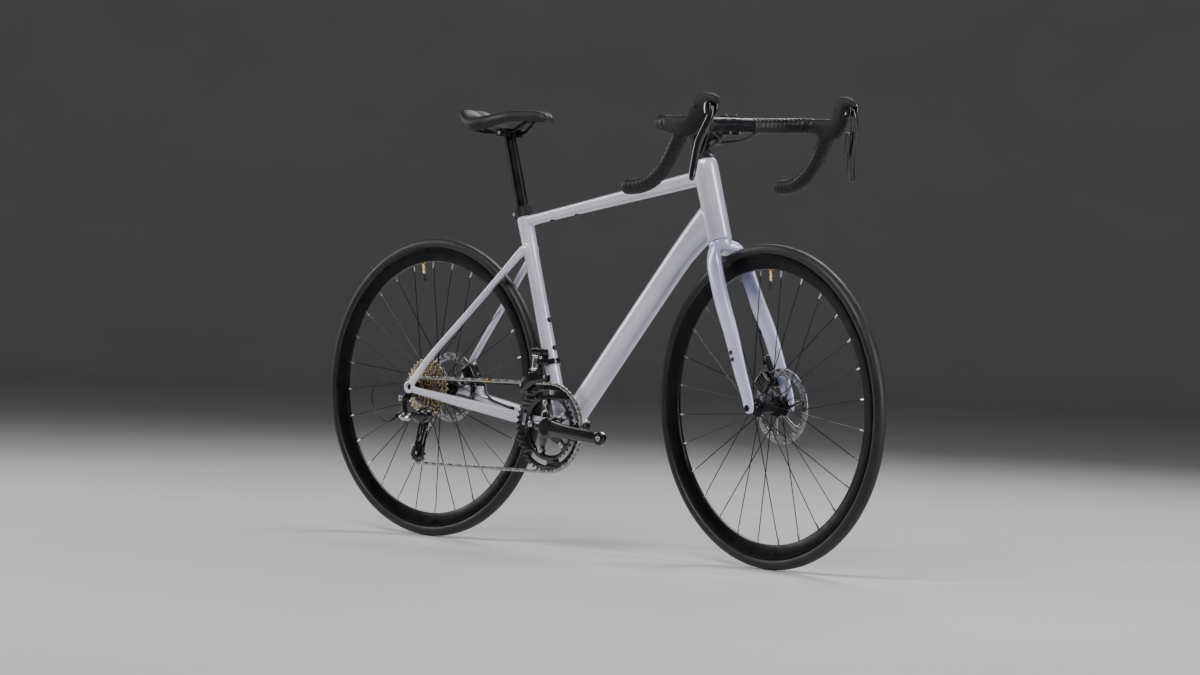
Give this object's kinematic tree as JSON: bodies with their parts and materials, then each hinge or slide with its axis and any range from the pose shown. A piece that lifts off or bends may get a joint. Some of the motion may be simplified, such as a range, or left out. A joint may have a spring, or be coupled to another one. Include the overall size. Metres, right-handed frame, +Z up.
{
  "type": "road bicycle",
  "caption": "Drop-bar road bicycle with disc brakes, welded frame, two spoked wheels, chain drive with derailleurs, saddle and steering that turns.",
  "frame": {"origin": "centre of the rear axle", "axes": "+X forward along the bicycle, +Y to the rider's left, +Z up"},
  "size_m": [1.678, 0.4856, 0.9918],
  "materials": {
    "pearl_paint": "gloss pearl silver",
    "lilac_paint": "gloss pearl lilac",
    "black_metal": "satin black anodised",
    "gloss_black": "gloss black",
    "black_plastic": "matte",
    "black_rubber": "matte",
    "tyre_rubber": "matte",
    "rim_black": "satin black",
    "steel": "satin",
    "bright_steel": "bright",
    "nickel": "nickel plated",
    "saddle_cover": "fine grain",
    "pad_lining": "matte"
  },
  "bodies": {
    "frame": {"frame": "pearl_paint", "derailleur_hanger": "black_metal", "seat_collar": "black_metal", "bottom_bracket_cup_right": "black_metal", "bottom_bracket_cup_left": "black_metal", "rear_axle": "black_metal", "rear_caliper": "gloss_black", "headset_bearing_upper": "steel", "headset_bearing_lower": "steel", "front_derailleur_mount": "gloss_black", "chain": "bright_steel", "rear_derailleur_upper_knuckle": "gloss_black", "gear_cable": "black_rubber", "rear_brake_hose": "black_rubber"},
    "seat": {"seatpost": "black_metal", "saddle_clamp": "black_metal", "saddle_rails": "steel", "saddle": "saddle_cover"},
    "steering": {"fork": "lilac_paint", "headset_cover": "black_metal", "stem": "black_metal", "stem_faceplate": "black_metal", "stem_top_cap": "black_metal", "handlebar": "black_metal", "bar_tape_right": "black_rubber", "bar_tape_left": "black_rubber", "hood_right": "black_rubber", "hood_left": "black_rubber", "front_caliper": "gloss_black", "front_axle": "black_metal", "front_brake_hose": "black_rubber", "bar_hoses": "black_rubber"},
    "brake_lever_right": {"brake_lever_right": "gloss_black"},
    "brake_lever_left": {"brake_lever_left": "gloss_black"},
    "shift_paddle_right": {"shift_paddle_right": "gloss_black"},
    "shift_paddle_left": {"shift_paddle_left": "gloss_black"},
    "front_pad_right": {"front_pad_right": "pad_lining"},
    "front_pad_left": {"front_pad_left": "pad_lining"},
    "rear_pad_right": {"rear_pad_right": "pad_lining"},
    "rear_pad_left": {"rear_pad_left": "pad_lining"},
    "front_wheel": {"front_tyre": "tyre_rubber", "front_rim": "rim_black", "front_hub_and_spokes": "black_metal", "front_rotor": "bright_steel"},
    "rear_wheel": {"rear_tyre": "tyre_rubber", "rear_rim": "rim_black", "rear_hub_and_spokes": "black_metal", "rear_rotor": "bright_steel"},
    "cassette": {"cassette": "nickel"},
    "crankset": {"crank_right": "gloss_black", "chainring_large": "gloss_black", "chainring_small": "black_metal", "crank_left": "gloss_black"},
    "rear_derailleur_link": {"rear_derailleur_link": "bright_steel"},
    "rear_derailleur_lower_knuckle": {"rear_derailleur_lower_knuckle": "gloss_black"},
    "rear_derailleur_cage": {"rear_derailleur_cage": "black_metal"},
    "guide_pulley": {"guide_pulley": "black_plastic"},
    "tension_pulley": {"tension_pulley": "black_plastic"},
    "front_derailleur_link": {"front_derailleur_link": "black_metal"},
    "front_derailleur_cage": {"front_derailleur_cage": "steel"}
  },
  "joints": [
    {"name": "steering_turn", "type": "hinge", "parent": "frame", "child": "steering", "pos_m": [0.84705, 0, 0.34381], "axis": [-0.2924, 0, 0.9563], "range_deg": [-47, 63]},
    {"name": "front_wheel_spin", "type": "hinge", "parent": "steering", "child": "front_wheel", "pos_m": [1.00296, -0.00671, -0.00014], "axis": [0.1309, 0.9906, 0.04], "continuous": true},
    {"name": "rear_wheel_spin", "type": "hinge", "parent": "frame", "child": "rear_wheel", "pos_m": [0, 0, 0], "axis": [0, 1, 0], "continuous": true},
    {"name": "crank_spin", "type": "hinge", "parent": "frame", "child": "crankset", "pos_m": [0.409, 0, -0.072], "axis": [0, 1, 0], "continuous": true},
    {"name": "cassette_spin", "type": "hinge", "parent": "frame", "child": "cassette", "pos_m": [0, 0, 0], "axis": [0, 1, 0], "continuous": true},
    {"name": "seatpost_height", "type": "slide", "parent": "frame", "child": "seat", "axis": [-0.2874, 0, 0.9578], "range_m": [-0.11, 0.09]},
    {"name": "brake_lever_right_pull", "type": "hinge", "parent": "steering", "child": "brake_lever_right", "pos_m": [1.01114, -0.23117, 0.60627], "axis": [0.1309, 0.9906, 0.04], "range_deg": [0, 17], "stiffness_Nm_per_rad": 0.8, "springref_deg": -9.74},
    {"name": "shift_paddle_right_push", "type": "hinge", "parent": "brake_lever_right", "child": "shift_paddle_right", "pos_m": [1.00049, -0.23446, 0.56007], "axis": [0.9914, -0.1309, -0.0026], "range_deg": [0, 14], "stiffness_Nm_per_rad": 0.3, "springref_deg": -5.73},
    {"name": "brake_lever_left_pull", "type": "hinge", "parent": "steering", "child": "brake_lever_left", "pos_m": [1.06273, 0.15912, 0.62204], "axis": [0.1309, 0.9906, 0.04], "range_deg": [0, 17], "stiffness_Nm_per_rad": 0.8, "springref_deg": -9.74},
    {"name": "shift_paddle_left_push", "type": "hinge", "parent": "brake_lever_left", "child": "shift_paddle_left", "pos_m": [1.05379, 0.16871, 0.57636], "axis": [-0.9914, 0.1309, 0.0026], "range_deg": [0, 14], "stiffness_Nm_per_rad": 0.3, "springref_deg": -5.73},
    {"name": "front_pad_right_press", "type": "slide", "parent": "steering", "child": "front_pad_right", "axis": [0.1309, 0.9906, 0.04], "range_m": [0, 0.0005]},
    {"name": "front_pad_left_press", "type": "slide", "parent": "steering", "child": "front_pad_left", "axis": [-0.1309, -0.9906, -0.04], "range_m": [0, 0.0005]},
    {"name": "rear_pad_right_press", "type": "slide", "parent": "frame", "child": "rear_pad_right", "axis": [0, 1, 0], "range_m": [0, 0.0005]},
    {"name": "rear_pad_left_press", "type": "slide", "parent": "frame", "child": "rear_pad_left", "axis": [0, -1, 0], "range_m": [0, 0.0005]},
    {"name": "rear_derailleur_swing", "type": "hinge", "parent": "frame", "child": "rear_derailleur_link", "pos_m": [-0.008, -0.088, -0.066], "axis": [0.3119, 0.6407, 0.7015], "range_deg": [0, 68], "deforming": ["gear_cable", "chain"]},
    {"name": "rear_derailleur_knuckle_turn", "type": "hinge", "parent": "rear_derailleur_link", "child": "rear_derailleur_lower_knuckle", "pos_m": [0.03, -0.1065, -0.066], "axis": [0.3119, 0.6407, 0.7015], "range_deg": [-68, 0]},
    {"name": "rear_derailleur_cage_swing", "type": "hinge", "parent": "rear_derailleur_lower_knuckle", "child": "rear_derailleur_cage", "pos_m": [0.04, -0.0585, -0.063], "axis": [0, -1, 0], "range_deg": [-25, 60], "stiffness_Nm_per_rad": 1},
    {"name": "guide_pulley_spin", "type": "hinge", "parent": "rear_derailleur_cage", "child": "guide_pulley", "pos_m": [0.034, -0.0585, -0.067], "axis": [0, 1, 0], "continuous": true},
    {"name": "tension_pulley_spin", "type": "hinge", "parent": "rear_derailleur_cage", "child": "tension_pulley", "pos_m": [0.014, -0.0585, -0.149], "axis": [0, 1, 0], "continuous": true},
    {"name": "front_derailleur_swing", "type": "hinge", "parent": "frame", "child": "front_derailleur_link", "pos_m": [0.349, -0.03, 0.082], "axis": [1, 0, 0], "range_deg": [0, 14.8]},
    {"name": "front_derailleur_cage_turn", "type": "hinge", "parent": "front_derailleur_link", "child": "front_derailleur_cage", "pos_m": [0.349, -0.03386, 0.05225], "axis": [1, 0, 0], "range_deg": [-14.8, 0]}
  ],
  "couplings": [
    {"joint": "cassette_spin", "follows": "crank_spin", "ratio": 4.3636},
    {"joint": "guide_pulley_spin", "follows": "crank_spin", "ratio": -4.3636},
    {"joint": "tension_pulley_spin", "follows": "crank_spin", "ratio": 4.3636},
    {"joint": "rear_derailleur_knuckle_turn", "follows": "rear_derailleur_swing", "ratio": -1},
    {"joint": "front_derailleur_cage_turn", "follows": "front_derailleur_swing", "ratio": -1},
    {"joint": "front_pad_right_press", "follows": "brake_lever_left_pull", "m_per_rad": 0.00168},
    {"joint": "front_pad_left_press", "follows": "brake_lever_left_pull", "m_per_rad": 0.00168},
    {"joint": "rear_pad_right_press", "follows": "brake_lever_right_pull", "m_per_rad": 0.00168},
    {"joint": "rear_pad_left_press", "follows": "brake_lever_right_pull", "m_per_rad": 0.00168}
  ]
}
